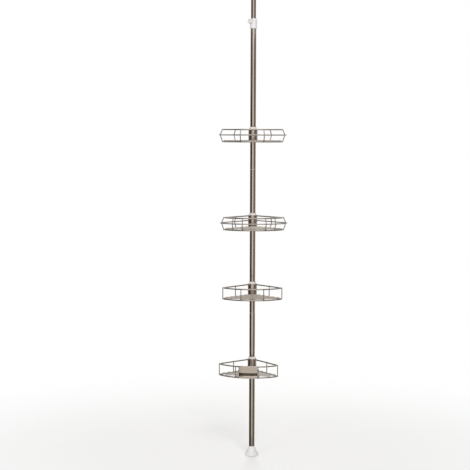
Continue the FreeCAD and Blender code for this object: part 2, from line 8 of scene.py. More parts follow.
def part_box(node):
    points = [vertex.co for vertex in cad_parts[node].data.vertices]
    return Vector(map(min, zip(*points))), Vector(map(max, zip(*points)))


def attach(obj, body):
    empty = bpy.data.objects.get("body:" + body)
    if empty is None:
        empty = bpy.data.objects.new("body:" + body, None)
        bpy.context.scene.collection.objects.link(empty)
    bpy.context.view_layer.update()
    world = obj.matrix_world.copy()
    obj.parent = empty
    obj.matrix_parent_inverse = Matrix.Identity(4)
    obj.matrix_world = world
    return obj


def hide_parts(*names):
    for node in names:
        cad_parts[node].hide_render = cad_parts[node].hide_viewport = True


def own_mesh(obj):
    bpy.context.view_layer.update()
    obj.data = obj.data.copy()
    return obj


# Tension pole shelf unit. Everything is in metres, on the frame's own axes.

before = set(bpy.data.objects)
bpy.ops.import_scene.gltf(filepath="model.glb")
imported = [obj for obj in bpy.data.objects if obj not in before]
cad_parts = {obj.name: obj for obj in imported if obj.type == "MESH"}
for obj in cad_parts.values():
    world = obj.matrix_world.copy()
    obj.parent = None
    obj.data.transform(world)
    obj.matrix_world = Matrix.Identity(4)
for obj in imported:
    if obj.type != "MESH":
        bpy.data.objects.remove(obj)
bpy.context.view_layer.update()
scene = bpy.context.scene
print("frame loaded:", len(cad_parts), "nodes")

meshing = {
    "sharpest": 0.02, "flattest": 1.56,  # half angles, past which a corner gets no fillet
    "sideShare": 0.49,  # the most of a side that one fillet takes
    "merge": 1e-7,  # points nearer than this become one
}


def roundedProfile(corners, steps):
    # corners are (radius, height, fillet), in order round a closed section
    out = []
    for i, (x, z, fillet) in enumerate(corners):
        here = Vector((x, z))
        before = Vector(corners[i - 1][:2]) - here
        after = Vector(corners[(i + 1) % len(corners)][:2]) - here
        half = before.angle(after, 0) / 2
        if fillet <= 0 or not meshing["sharpest"] <= half <= meshing["flattest"]:
            out.append(here)
            continue
        longest = min(before.length, after.length) * meshing["sideShare"]
        reach = min(fillet / tan(half), longest)
        radius = reach * tan(half)
        inward = (before.normalized() + after.normalized()).normalized()
        centre = here + inward * (radius / sin(half))
        first = here + before.normalized() * reach - centre
        last = here + after.normalized() * reach - centre
        swing = first.angle_signed(last)
        for step in range(steps + 1):
            angle = -swing * step / steps
            out.append(centre + Vector((
                first.x * cos(angle) - first.y * sin(angle),
                first.x * sin(angle) + first.y * cos(angle))))
    return out


def closedMesh(bm):
    # the bmesh as a mesh with its faces turned outwards
    bmesh.ops.recalc_face_normals(bm, faces=bm.faces)
    mesh = bpy.data.meshes.new("closed")
    bm.to_mesh(mesh)
    bm.free()
    return mesh


def latheMesh(section, segments, start=0.0, sweep=2 * pi, rimShape=None):
    # turns a closed section of (radius, height) about Z, with end caps when it isn't a full turn
    bm = bmesh.new()
    full = sweep >= 2 * pi
    rings = []
    for turn in range(segments if full else segments + 1):
        angle = start + sweep * turn / segments
        ring = []
        for x, z in section:
            radius = rimShape(x, angle) if rimShape else x
            ring.append(bm.verts.new((radius * cos(angle), radius * sin(angle), z)))
        rings.append(ring)
    following = rings[1:] + rings[:1] if full else rings[1:]
    for one, two in zip(rings, following):
        for i in range(len(section)):
            j = (i + 1) % len(section)
            if max(section[i][0], section[j][0]) >= meshing["merge"]:
                bm.faces.new((one[i], two[i], two[j], one[j]))
    if not full:
        bm.faces.new(rings[0])
        bm.faces.new(reversed(rings[-1]))
    bmesh.ops.remove_doubles(bm, verts=bm.verts, dist=meshing["merge"])
    return closedMesh(bm)


def plainMesh(name, points, edges=(), faces=()):
    mesh = bpy.data.meshes.new(name)
    mesh.from_pydata(points, edges, faces)
    return mesh


def newObject(name, data):
    data.name = name
    obj = bpy.data.objects.new(name, data)
    scene.collection.objects.link(obj)
    return obj


def assign(thing, **settings):
    for name, value in settings.items():
        setattr(thing, name, value)
    return thing


def turned(name, corners, steps=4, segments=96, **sweep):
    # a round piece from a section with fillets
    return newObject(name, latheMesh(roundedProfile(corners, steps), segments, **sweep))


def finished(obj):
    # its modifiers made into a plain mesh
    depsgraph = bpy.context.evaluated_depsgraph_get()
    mesh = bpy.data.meshes.new_from_object(obj.evaluated_get(depsgraph))
    obj.modifiers.clear()
    obj.data = mesh
    return obj


def cut(obj, cutter, operation="DIFFERENCE"):
    assign(obj.modifiers.new("cut", "BOOLEAN"), operation=operation, object=cutter, solver="EXACT")
    finished(obj)
    bpy.data.objects.remove(cutter)


def raised(height):
    return Matrix.Translation((0, 0, height))


def place(obj, matrix):
    obj.data.transform(matrix)
    return obj


def dress(obj, body, material, nodes=(), angle=34):
    # last step of every piece: its look, body and the nodes that it stands for
    obj.data.materials.clear()
    obj.data.materials.append(material)
    obj.data.shade_smooth()
    obj.data.set_sharp_from_angle(angle=radians(angle))
    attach(obj, body)
    if nodes:
        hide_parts(*nodes)


def connect(tree, node, inputs):
    # each input gets a value, or a link from another node, which stands for its first output
    for name, value in inputs.items():
        socket = node.inputs[name]
        if isinstance(value, bpy.types.Node):
            value = value.outputs[0]
        if isinstance(value, bpy.types.NodeSocket):
            tree.links.new(value, socket)
        else:
            socket.default_value = (*value, 1) if socket.type == "RGBA" else value


def addNode(tree, kind, inputs=None, **settings):
    node = assign(tree.nodes.new(kind), **settings)
    connect(tree, node, inputs or {})
    return node


def geo(tree, kind, inputs=None, **settings):
    return addNode(tree, "GeometryNode" + kind, inputs, **settings)


def xyz(tree, **parts):
    return addNode(tree, "ShaderNodeCombineXYZ", parts)


def calc(tree, operation, *values):
    return addNode(tree, "ShaderNodeMath", dict(enumerate(values)), operation=operation)


def times(tree, one, two):
    return calc(tree, "MULTIPLY", one, two)


def startMaterial(name):
    material = bpy.data.materials.new(name)
    material.use_nodes = True
    tree = material.node_tree
    return material, tree, tree.nodes["Principled BSDF"]


def objectPlace(tree):
    return addNode(tree, "ShaderNodeTexCoord").outputs["Object"]


def stretched(tree, scale=(1, 1, 1), turn=(0, 0, 0)):
    # object coordinates, scaled and turned
    return addNode(tree, "ShaderNodeMapping", {
        "Vector": objectPlace(tree), "Scale": scale, "Rotation": turn})


def noise(tree, scale, detail, roughness, *stretch):
    return addNode(tree, "ShaderNodeTexNoise", {
        "Vector": stretched(tree, *stretch), "Scale": scale, "Detail": detail, "Roughness": roughness})


def ramp(tree, factor, stops):
    # stops are (position, grey or colour)
    node = addNode(tree, "ShaderNodeValToRGB", {"Fac": factor})
    elements = node.color_ramp.elements
    while len(elements) < len(stops):
        elements.new(0.5)
    for element, (position, tone) in zip(elements, stops):
        element.position = position
        element.color = (*tone, 1) if isinstance(tone, tuple) else (tone, tone, tone, 1)
    return node


def spread(tree, value, low=0.0, high=1.0, fromLow=0.3, fromHigh=0.7):
    # a value drawn out to a new range; noise seldom leaves its middle
    return addNode(tree, "ShaderNodeMapRange", {
        "Value": value, "From Min": fromLow, "From Max": fromHigh, "To Min": low, "To Max": high})


def mixColour(tree, factor, one, two):
    # 6 and 7 are the node's colour inputs, 2 its colour output
    return addNode(tree, "ShaderNodeMix", {0: factor, 6: one, 7: two}, data_type="RGBA").outputs[2]


def bump(tree, height, strength, distance, **after):
    return addNode(tree, "ShaderNodeBump", {
        "Height": height, "Strength": strength, "Distance": distance, **after})


steelLook = {  # here and below, a noise is (scale, detail, roughness, stretch, turn)
    "light": (0.70, 0.655, 0.60), "dark": (0.54, 0.495, 0.445), "haze": (0.62, 0.60, 0.57),
    "straw": (0.46, 0.36, 0.22), "blued": (0.26, 0.27, 0.33),
    "grainDetail": 4, "grainRough": 0.6, "grainHeight": 0.0002,
    "cloud": (14, 4, 0.55), "cloudEdge": (0.48, 0.64), "cloudRough": (-0.03, 0.06),
    "dropScale": 190, "dropStretch": (1, 1, 0.8),
    "dropRing": ((0.0, 0), (0.10, 0.15), (0.15, 1), (0.21, 0)),  # distance, and how much is left there
}


def steelMaterial(name, scale, depth, rough, spots, grain=(1, 1, 1), shade=1.0):
    # polished stainless: grain along the work's own direction, with dried water spots over it
    s = steelLook
    material, tree, shader = startMaterial(name)
    lines = noise(tree, scale, s["grainDetail"], s["grainRough"], grain)
    cloud = noise(tree, *s["cloud"])
    drops = addNode(tree, "ShaderNodeTexVoronoi", {
        "Vector": stretched(tree, s["dropStretch"]), "Scale": s["dropScale"], "Randomness": 1},
        feature="SMOOTH_F1")
    ring = ramp(tree, drops, s["dropRing"])
    spotted = mixColour(tree, spread(tree, cloud, 0.0, spots, *s["cloudEdge"]), (0, 0, 0), ring)
    # a shade below 1 paints both tones darker, as painted shade
    dark, light = (tuple(c * shade for c in s[tone]) for tone in ("dark", "light"))
    tone = mixColour(tree, spread(tree, lines), dark, light)
    connect(tree, shader, {
        "Base Color": mixColour(tree, spotted, tone, s["haze"]),
        "Roughness": calc(tree, "ADD", spread(tree, lines, *rough), spread(tree, cloud, *s["cloudRough"])),
        "Metallic": 1.0,
        "Normal": bump(tree, lines, depth, s["grainHeight"])})
    return material


# painted shade in the plate's pressed groove: the heights of the dark band, its edges and patches, its tone
# and how much duller it is
grooveShade = {
    "low": 0.4008, "high": 0.4134, "soft": 0.0007, "ragged": 0.00025, "edge": (120, 4, 0.6),
    "patch": (55, 5, 0.65, (1, 1, 2)), "thinnest": 0.84, "tone": (0.095, 0.073, 0.057), "dull": 0.30,
}


def addGrooveShade(material, f):
    # painted shade: a dark uneven band between two heights, over the plate's pressed groove, laid on the
    # steel that is there
    tree = material.node_tree
    shader = tree.nodes["Principled BSDF"]
    height = addNode(tree, "ShaderNodeSeparateXYZ", {0: objectPlace(tree)}).outputs["Z"]
    ragged = spread(tree, noise(tree, *f["edge"]), -f["ragged"], f["ragged"])
    level = calc(tree, "ADD", height, ragged)
    above = spread(tree, level, 0.0, 1.0, f["low"] - f["soft"], f["low"] + f["soft"])
    below = spread(tree, level, 1.0, 0.0, f["high"] - f["soft"], f["high"] + f["soft"])
    patchy = spread(tree, noise(tree, *f["patch"]), f["thinnest"])
    shadeMask = times(tree, times(tree, above, below), patchy)
    clean = shader.inputs["Base Color"].links[0].from_socket
    smooth = shader.inputs["Roughness"].links[0].from_socket
    connect(tree, shader, {
        "Base Color": mixColour(tree, shadeMask, clean, f["tone"]),
        "Roughness": calc(tree, "MULTIPLY_ADD", shadeMask, f["dull"], smooth)})


plasticLook = {
    "flow": (26, 4, 0.6, (1, 1, 0.35)), "grime": (9, 5, 0.65), "grimeTone": (0.0, 0.5, 0.55, 0.8),
    "roughSpread": (-0.05, 0.1), "fine": (2600, 2, 0.5), "fineHeight": 0.00008,
    "scratch": (420, 2, 0.4, (1, 0.06, 1), (0.3, 0.2, 0.9)), "scratchHeight": 0.00006,
    "scratchEdge": ((0.0, 0), (0.68, 0), (0.72, 1), (1.0, 1)), "scratchBump": 0.1, "scuffShade": 0.93,
}


def plasticMaterial(name, light, dark, rough, texture, scuffs=0.35, gloss=0.5):
    # moulded plastic: faint flow mottling, a fine spark-eroded texture and a few scuffs
    p = plasticLook
    material, tree, shader = startMaterial(name)
    flow, grime, fine, scratch = (noise(tree, *p[kind]) for kind in ("flow", "grime", "fine", "scratch"))
    marks = ramp(tree, scratch, p["scratchEdge"])
    tone = mixColour(tree, spread(tree, flow), light, dark)
    tone = mixColour(tree, spread(tree, grime, *p["grimeTone"]), tone, dark)
    worn = mixColour(tree, scuffs, (0, 0, 0), marks)
    fineBump = bump(tree, fine, texture, p["fineHeight"])
    connect(tree, shader, {
        "Base Color": mixColour(tree, worn, tone, tuple(c * p["scuffShade"] for c in dark)),
        "Roughness": spread(tree, grime, *(rough + off for off in p["roughSpread"])),
        "Specular IOR Level": gloss,
        "Normal": bump(tree, marks, p["scratchBump"], p["scratchHeight"], Normal=fineBump)})
    return material


rubberLook = {
    "light": (0.40, 0.39, 0.37), "dark": (0.29, 0.285, 0.27), "patch": (30, 5, 0.6), "rough": (0.62, 0.82),
    "dust": (60, 4, 0.7, (1, 1, 3)), "dustShare": (0.0, 0.5, 0.5, 0.75), "dustTone": (0.66, 0.64, 0.60),
    "grains": (1500, 3, 0.6), "grainBump": (0.35, 0.0001),
}


def rubberMaterial(name, r):
    # grey rubber, blotchy, with pale dust on it
    material, tree, shader = startMaterial(name)
    patch = noise(tree, *r["patch"])
    dusty = spread(tree, noise(tree, *r["dust"]), *r["dustShare"])
    connect(tree, shader, {
        "Base Color": mixColour(
            tree, dusty, mixColour(tree, spread(tree, patch), r["dark"], r["light"]), r["dustTone"]),
        "Roughness": spread(tree, patch, *r["rough"]),
        "Normal": bump(tree, noise(tree, *r["grains"]), *r["grainBump"])})
    return material


weldLook = {
    "heat": (160, 3, 0.6), "tints": ((0.30, "dark"), (0.46, "light"), (0.58, "straw"), (0.72, "blued")),
    "rough": (0.24, 0.42), "ripple": (900, 3, 0.6), "rippleBump": (0.5, 0.0002),
}


def weldMaterial(name, w):
    # small beads, straw and blue from the heat, with fine ripples
    material, tree, shader = startMaterial(name)
    heat = noise(tree, *w["heat"])
    connect(tree, shader, {
        "Base Color": ramp(tree, heat, [(position, steelLook[tint]) for position, tint in w["tints"]]),
        "Roughness": spread(tree, heat, *w["rough"]),
        "Metallic": 1.0,
        "Normal": bump(tree, noise(tree, *w["ripple"]), *w["rippleBump"])})
    return material


poleSteel = steelMaterial(
    "poleSteel", scale=900, depth=0.03, rough=(0.11, 0.16), spots=0.07, grain=(1, 1, 0.004))
# wireSteel is the pole's steel with painted shade: its tones are drawn darker so that the rails read darker
wireSteel = steelMaterial("wireSteel", scale=500, depth=0.04, rough=(0.10, 0.17), spots=0.10, shade=0.84)
hubSteel = steelMaterial(
    "hubSteel", scale=1400, depth=0.16, rough=(0.14, 0.26), spots=0.30, grain=(0.05, 0.05, 1))
plateSteel = steelMaterial(
    "plateSteel", scale=1100, depth=0.12, rough=(0.16, 0.26), spots=0.18, grain=(0.04, 0.04, 1))
# the plate's groove gets a band of painted shade
addGrooveShade(plateSteel, grooveShade)
springSteel = steelMaterial("springSteel", scale=700, depth=0.12, rough=(0.22, 0.34), spots=0.10)
weldBead = weldMaterial("weldBead", weldLook)
whitePlastic = plasticMaterial(
    "whitePlastic", light=(0.81, 0.797, 0.79), dark=(0.757, 0.742, 0.733), rough=0.34, texture=0.18)
sleevePlastic = plasticMaterial(
    "sleevePlastic", light=(0.84, 0.83, 0.80), dark=(0.77, 0.755, 0.72), rough=0.42, texture=0.22)
innerPlastic = plasticMaterial(
    "innerPlastic", light=(0.78, 0.77, 0.73), dark=(0.70, 0.69, 0.65), rough=0.50, texture=0.30,
    scuffs=0.2, gloss=0.4)
greyRubber = rubberMaterial("greyRubber", rubberLook)
print("materials made:", len(bpy.data.materials))


def startTree(name, sizes):
    # a node tree with an input for each size and one for the material
    tree = bpy.data.node_groups.new(name, "GeometryNodeTree")
    sockets = tree.interface
    sockets.new_socket("Geometry", in_out="INPUT", socket_type="NodeSocketGeometry")
    for label, value in sizes.items():
        kind = "NodeSocketInt" if isinstance(value, int) else "NodeSocketFloat"
        sockets.new_socket(label, in_out="INPUT", socket_type=kind).default_value = value
    sockets.new_socket("Material", in_out="INPUT", socket_type="NodeSocketMaterial")
    sockets.new_socket("Geometry", in_out="OUTPUT", socket_type="NodeSocketGeometry")
    return tree, addNode(tree, "NodeGroupInput").outputs


def endTree(tree, given, geometry):
    real = geo(tree, "RealizeInstances", {0: geometry})
    painted = geo(tree, "SetMaterial", {"Geometry": real, "Material": given["Material"]})
    addNode(tree, "NodeGroupOutput", {0: painted})
    return tree


def wireTree():
    # a round wire along every line of edges that the piece is given
    tree, given = startTree("bentWire", {"Wire Radius": 0.003, "Sides": 20})
    path = geo(tree, "MeshToCurve", {"Mesh": given["Geometry"]})
    ring = geo(tree, "CurvePrimitiveCircle", {
        "Radius": given["Wire Radius"], "Resolution": given["Sides"]})
    sweep = geo(tree, "CurveToMesh", {
        "Curve": path, "Profile Curve": ring, "Fill Caps": True})
    return endTree(tree, given, sweep)


def beadTree():
    # a small lump of weld at every point, by the size and turn that the point carries
    tree, given = startTree("weldBeads", {"Unevenness": 0.12, "Seed": 4})
    lump = geo(tree, "MeshIcoSphere", {"Radius": 1.0, "Subdivisions": 3})
    where = geo(tree, "InputPosition")
    wobble = addNode(tree, "ShaderNodeTexNoise", {"Vector": where, "Scale": 1.6})
    centred = addNode(tree, "ShaderNodeVectorMath", {
        0: wobble.outputs["Color"], 1: (0.5, 0.5, 0.5)}, operation="SUBTRACT")
    shift = addNode(tree, "ShaderNodeVectorMath", {
        0: centred, "Scale": given["Unevenness"]}, operation="SCALE")
    uneven = geo(tree, "SetPosition", {"Geometry": lump, "Offset": shift})
    size, turn = (
        geo(tree, "InputNamedAttribute", {"Name": label}, data_type="FLOAT_VECTOR")
        for label in ("beadSize", "beadTurn"))
    vary = addNode(tree, "FunctionNodeRandomValue", {
        2: 0.88, 3: 1.10, "Seed": given["Seed"]}, data_type="FLOAT")  # 2 is the least and 3 the most
    grown = addNode(tree, "ShaderNodeVectorMath", {0: size, "Scale": vary.outputs[1]}, operation="SCALE")
    stand = geo(tree, "InstanceOnPoints", {
        "Points": given["Geometry"], "Instance": uneven, "Rotation": turn, "Scale": grown})
    return endTree(tree, given, stand)


def floorTree():
    # parallel wires across a quarter-round floor, each as long as the rail allows there
    tree, given = startTree("floorRow", {
        "Wires": 8, "First": 0.036, "Pitch": 0.02, "Reach": 0.184, "Side Slope": 1.0,
        "Widest Half": 0.1234, "Wire Radius": 0.00175, "Sides": 16})
    index = geo(tree, "InputIndex")
    away = calc(tree, "ADD", given["First"], times(tree, index, given["Pitch"]))
    toSide = times(tree, away, given["Side Slope"])
    toFront = calc(tree, "SQRT", calc(
        tree, "SUBTRACT", calc(tree, "POWER", given["Reach"], 2.0), calc(tree, "POWER", away, 2.0)))
    half = calc(tree, "MINIMUM", calc(tree, "MINIMUM", toSide, toFront), given["Widest Half"])
    row = geo(tree, "MeshLine", {"Count": given["Wires"]})
    spot = xyz(tree, Y=times(tree, away, -1.0))
    laidOut = geo(tree, "SetPosition", {"Geometry": row, "Position": spot})
    bar = geo(tree, "MeshCylinder", {
        "Depth": 1.0, "Radius": given["Wire Radius"], "Vertices": given["Sides"]})
    drawn = xyz(tree, X=1.0, Y=1.0, Z=times(tree, half, 2.0))
    lay = geo(tree, "InstanceOnPoints", {
        "Points": laidOut, "Instance": bar, "Rotation": (0, pi / 2, 0), "Scale": drawn})
    return endTree(tree, given, lay)


def ribTree():
    # upright rounded ribs round a circle
    tree, given = startTree("ribRing", {
        "Ribs": 24, "Ring Radius": 0.015, "Foot": 0.0, "Rib Length": 0.01, "Rib Radius": 0.0006})
    circle = geo(tree, "MeshCircle", {
        "Vertices": given["Ribs"], "Radius": given["Ring Radius"]})
    up = xyz(tree, Z=given["Foot"])
    lift = geo(tree, "SetPosition", {"Geometry": circle, "Offset": up})
    ball = geo(tree, "MeshUVSphere", {
        "Segments": 10, "Rings": 8, "Radius": given["Rib Radius"]})
    # the ball's upper and lower halves are drawn apart to make a capsule
    where = geo(tree, "InputPosition")
    sign = calc(tree, "SIGN", addNode(tree, "ShaderNodeSeparateXYZ", {0: where}).outputs["Z"])
    pull = xyz(tree, Z=times(tree, sign, times(tree, given["Rib Length"], 0.5)))
    capsule = geo(tree, "SetPosition", {"Geometry": ball, "Offset": pull})
    stand = geo(tree, "InstanceOnPoints", {"Points": lift, "Instance": capsule})
    return endTree(tree, given, stand)


trees = {"wire": wireTree(), "bead": beadTree(), "floor": floorTree(), "rib": ribTree()}
print("node trees made:", len(trees))


def grow(name, start, kind, inputs):
    # runs a tree on a mesh and keeps the result as a plain mesh
    obj = newObject(name, start)
    modifier = assign(obj.modifiers.new("nodes", "NODES"), node_group=trees[kind])
    identifiers = {item.name: item.identifier for item in trees[kind].interface.items_tree
                   if item.in_out == "INPUT"}
    for label, value in inputs.items():
        modifier[identifiers[label]] = value
    return finished(obj)


def lineMesh(lines):
    # edges along each line of points
    points, edges = [], []
    for line in lines:
        edges += [(len(points) + i, len(points) + i + 1) for i in range(len(line) - 1)]
        points += line
    return plainMesh("lines", points, edges)


beadUnevenness = 0.22


def beadPiece(name, spots, body, seed):
    # spots are (place, size, lean about Z)
    mesh = plainMesh("beads", [spot[0] for spot in spots])
    carried = {"beadSize": [spot[1] for spot in spots], "beadTurn": [(0, 0, spot[2]) for spot in spots]}
    for label, rows in carried.items():
        attribute = mesh.attributes.new(label, "FLOAT_VECTOR", "POINT")
        attribute.data.foreach_set("vector", [value for row in rows for value in row])
    obj = grow(name, mesh, "bead", {"Unevenness": beadUnevenness, "Seed": seed, "Material": weldBead})
    for label in carried:
        obj.data.attributes.remove(obj.data.attributes[label])
    dress(obj, body, weldBead, angle=60)


cameraPlace = {
    "distance": 5.2, "height": 1.464, "lens": 90.03, "sensor": 36.0, "clipEnd": 60.0,
    "pitch": 5.13, "yaw": 0.875, "roll": -0.17,
}


def makeCamera(c):
    camera = newObject("camera", assign(
        bpy.data.cameras.new("camera"), lens=c["lens"], sensor_width=c["sensor"], clip_end=c["clipEnd"]))
    camera.location = (0, -c["distance"], c["height"])
    camera.rotation_euler = [radians(angle) for angle in (90 - c["pitch"], c["roll"], c["yaw"])]
    scene.camera = camera


makeCamera(cameraPlace)

studio = {
    "worldLight": 0.42, "worldTone": (1.0, 0.99, 0.975),
    "lamps": {  # place, aim, width, height, power
        "keyLamp": ((0.9, -4.0, 3.3), (0, 0, 1.1), 1.4, 1.2, 100),
        "fillLamp": ((-1.9, -3.6, 1.2), (0, 0, 0.6), 1.2, 2.0, 40),
        "backLamp": ((0.0, 3.6, 2.3), (0, 0, 1.2), 1.6, 1.8, 70),
    },
    # cards that only gloss shows: azimuth from and to in degrees, 0 toward the camera and + to its
    # right, then (distance, height) along the card, and its tone
    "cards": {
        "blackCard": (-60, -33, ((2.6, 0.0), (2.6, 1.7)), (0.012, 0.010, 0.009)),
        "highBlackCard": (-56, -30, ((2.6, 1.7), (2.6, 3.2), (1.0, 4.6), (0.3, 4.9)), (0.024, 0.019, 0.016)),
        "leftCard": (-122, -60, ((2.8, 0.0), (2.8, 1.7)), (0.070, 0.056, 0.044)),
        "highLeftCard": (-122, -56, ((2.8, 1.7), (2.8, 2.7)), (0.145, 0.120, 0.098)),
        "rearCard": (-164, -122, ((2.8, 0.0), (2.8, 2.6)), (0.42, 0.385, 0.34)),
        "frontCard": (-33, 30, ((3.0, 0.0), (3.0, 2.4)), (0.84, 0.775, 0.715)),
        "rightCard": (30, 106, ((2.8, 0.0), (2.8, 1.7)), (0.215, 0.170, 0.133)),
        "highRightCard": (30, 106, ((2.8, 1.7), (2.8, 2.6)), (0.165, 0.130, 0.103)),
        "rimCard": (106, 174, ((2.8, 0.0), (2.8, 2.6)), (0.45, 0.41, 0.365)),
        # low fences in front, which light the pole's foot, and a high card over them
        "footFence": (-33, 30, ((0.19, 0.01), (0.19, 0.16)), (0.62, 0.575, 0.52)),
        "nearFence": (-33, 30, ((0.4, 0.01), (0.4, 0.33)), (0.70, 0.65, 0.59)),
        "farFence": (-33, 30, ((1.1, 0.02), (1.1, 0.50)), (0.74, 0.69, 0.63)),
        "glintCard": (-22, 76, ((2.5, 3.4), (1.7, 4.2)), (1.25, 1.20, 1.13)),
        # aprons just over the floor
        "leftApron": (-122, -33, ((0.03, 0.003), (0.9, 0.012), (2.7, 0.04)), (0.040, 0.034, 0.029)),
        "frontApron": (-33, 30, ((0.03, 0.003), (0.9, 0.012), (2.9, 0.04)), (0.42, 0.385, 0.34)),
        "rightApron": (30, 106, ((0.03, 0.003), (0.9, 0.012), (2.7, 0.04)), (0.17, 0.15, 0.125)),
        "backApron": (106, 238, ((0.03, 0.003), (0.9, 0.012), (1.8, 0.04)), (0.30, 0.275, 0.245)),
    },
    "cardSteps": 16,
    "floorHalf": 9.0, "floorDrop": 0.0002, "floorSolid": 0.45, "floorGone": 2.0,
    "floorTone": (0.965, 0.962, 0.957), "speck": (240, 3, 0.6), "speckShade": 0.985, "floorPale": 0.27,
}


def seenDirectly(tree):
    # 1 for the rays of the camera, gloss and clear plastic, 0 for those that carry light
    path = addNode(tree, "ShaderNodeLightPath").outputs
    cameraOrGloss = calc(tree, "MAXIMUM", path["Is Camera Ray"], path["Is Glossy Ray"])
    return calc(tree, "MAXIMUM", cameraOrGloss, path["Is Transmission Ray"])


def makeWorld(s):
    world = bpy.data.worlds.new("studio")
    scene.world = world
    world.use_nodes = True
    tree = world.node_tree
    light = tree.nodes["Background"]
    connect(tree, light, {"Color": s["worldTone"], "Strength": s["worldLight"]})
    white = addNode(tree, "ShaderNodeBackground", {"Color": (1, 1, 1)})
    mix = addNode(tree, "ShaderNodeMixShader", {0: seenDirectly(tree), 1: light, 2: white})
    connect(tree, tree.nodes["World Output"], {"Surface": mix})


def makeLamps(s):
    for name, (location, target, width, height, power) in s["lamps"].items():
        lamp = newObject(name, assign(
            bpy.data.lights.new(name, "AREA"), shape="RECTANGLE", size=width, size_y=height, energy=power))
        lamp.location = location
        lamp.rotation_euler = (Vector(target) - Vector(location)).to_track_quat("-Z", "Y").to_euler()
        lamp.visible_glossy = False  # the cards give the steel its lights


def makeCards(s):
    steps = s["cardSteps"]
    for name, (start, end, outline, tone) in s["cards"].items():
        points, faces = [], []
        for step in range(steps + 1):
            angle = radians(start + (end - start) * step / steps)
            points += [(sin(angle) * reach, -cos(angle) * reach, z) for reach, z in outline]
        rows = len(outline)
        for step in range(steps):
            for row in range(rows - 1):
                corner = step * rows + row
                faces.append((corner, corner + 1, corner + rows + 1, corner + rows))
        card = newObject(name, plainMesh(name, points, (), faces))
        material, tree, shader = startMaterial(name)
        glow = addNode(tree, "ShaderNodeEmission", {"Color": tone})
        connect(tree, tree.nodes["Material Output"], {"Surface": glow})
        tree.nodes.remove(shader)
        card.data.materials.append(material)
        assign(card, visible_camera=False, visible_diffuse=False, visible_shadow=False,
               visible_transmission=False)


def makeFloor(s):
    # pale and matt under the part, and clear further out
    half, low = s["floorHalf"], -s["floorDrop"]
    corners = [(-half, -half, low), (half, -half, low), (half, half, low), (-half, half, low)]
    floor = newObject("floor", plainMesh("floor", corners, (), [(0, 1, 2, 3)]))
    material, tree, shader = startMaterial("floorPaint")
    away = addNode(tree, "ShaderNodeVectorMath", {0: objectPlace(tree)}, operation="LENGTH")
    fade = addNode(tree, "ShaderNodeMapRange", {
        "Value": away.outputs["Value"], "From Min": s["floorSolid"], "From Max": s["floorGone"]},
        interpolation_type="SMOOTHSTEP")
    speck = spread(tree, noise(tree, *s["speck"]))
    darker = tuple(c * s["speckShade"] for c in s["floorTone"])
    connect(tree, shader, {
        "Base Color": mixColour(tree, speck, s["floorTone"], darker),
        "Roughness": 0.9, "Specular IOR Level": 0.0})
    # the camera sees the floor part white, so the shadow stays and the grey goes
    white = addNode(tree, "ShaderNodeEmission")
    lit = addNode(tree, "ShaderNodeMixShader", {
        0: times(tree, seenDirectly(tree), s["floorPale"]),
        1: shader, 2: white})
    clear = addNode(tree, "ShaderNodeBsdfTransparent")
    mix = addNode(tree, "ShaderNodeMixShader", {0: fade, 1: lit, 2: clear})
    connect(tree, tree.nodes["Material Output"], {"Surface": mix})
    floor.data.materials.append(material)


makeWorld(studio)
makeLamps(studio)
makeCards(studio)
makeFloor(studio)
scene.view_settings.view_transform = "Standard"
print("camera and studio made")


endPiece = {
    "height": 0.041, "neck": 0.014, "neckHeight": 0.007, "neckEdge": 0.0008, "shoulder": 0.0150,
    "rim": 0.030, "rimHeight": 0.0055, "rimEdge": 0.0010, "rimDrop": 0.0018,
    "rimFillets": (0.0010, 0.0012, 0.0016), "socketEdge": 0.0003, "socketFloor": 0.007,
    "poleSocket": 0.01255, "plungerSocket": 0.01015,
    "beadLine": (  # the thin bead under the neck: out from the shoulder, up from the neck's foot, fillet
        (0.0004, -0.0009, 0.0022), (0.0, 0.0002, 0.0003), (0.0, 0.0014, 0.0004)),
    "neckFoot": (0.0003, 0.0019, 0.0004),
    "pad": 0.027, "padHeight": 0.003, "padRecess": 0.0015, "padPlay": 0.00005, "padFillets": (0.0006, 0.0003),
    "grooves": 5, "firstGroove": 0.005, "groovePitch": 0.0042, "grooveEdge": 0.0002,
    "grooveLine": ((0.0, 0.0), (0.0004, 0.0007), (0.0016, 0.0007), (0.0020, 0.0)),
}


def coneCorners(c, socket):
    # straight skirt from the upright rim to the neck, with a thin bead where the neck begins
    high = c["height"] - c["neckHeight"]
    recess = c["pad"] + c["padPlay"]
    out, up, soft = c["neckFoot"]
    low, middle, top = c["rimFillets"]
    return [
        (0.0, c["padRecess"], 0), (recess, c["padRecess"], 0), (recess, 0.0, 0),
        (c["rim"], 0.0, low), (c["rim"], c["rimHeight"] - c["rimDrop"], middle),
        (c["rim"] - c["rimEdge"], c["rimHeight"], top),
        *[(c["shoulder"] + across, high + along, fillet) for across, along, fillet in c["beadLine"]],
        (c["neck"] + out, high + up, soft), (c["neck"], c["height"], c["neckEdge"]),
        (socket, c["height"], c["socketEdge"]), (socket, c["socketFloor"], 0), (0.0, c["socketFloor"], 0),
    ]


def padCorners(c):
    # rubber disc with ring grooves in its grip face
    corners = [(0.0, 0.0, 0)]
    for groove in range(c["grooves"]):
        inner = c["firstGroove"] + groove * c["groovePitch"]
        corners += [(inner + across, deep, c["grooveEdge"]) for across, deep in c["grooveLine"]]
    low, high = c["padFillets"]
    return corners + [(c["pad"], 0.0, low), (c["pad"], c["padHeight"], high), (0.0, c["padHeight"], 0)]


def makeEnd(c, name, body, coneNode, padNode, socket, stand):
    cone = turned(name + "Cone", coneCorners(c, c[socket]), steps=6, segments=120)
    place(cone, stand @ raised(c["padHeight"] - c["padRecess"]))
    dress(cone, body, whitePlastic, [coneNode])
    disc = turned(name + "Pad", padCorners(c), steps=3, segments=120)
    place(disc, stand)
    dress(disc, body, greyRubber, [padNode])


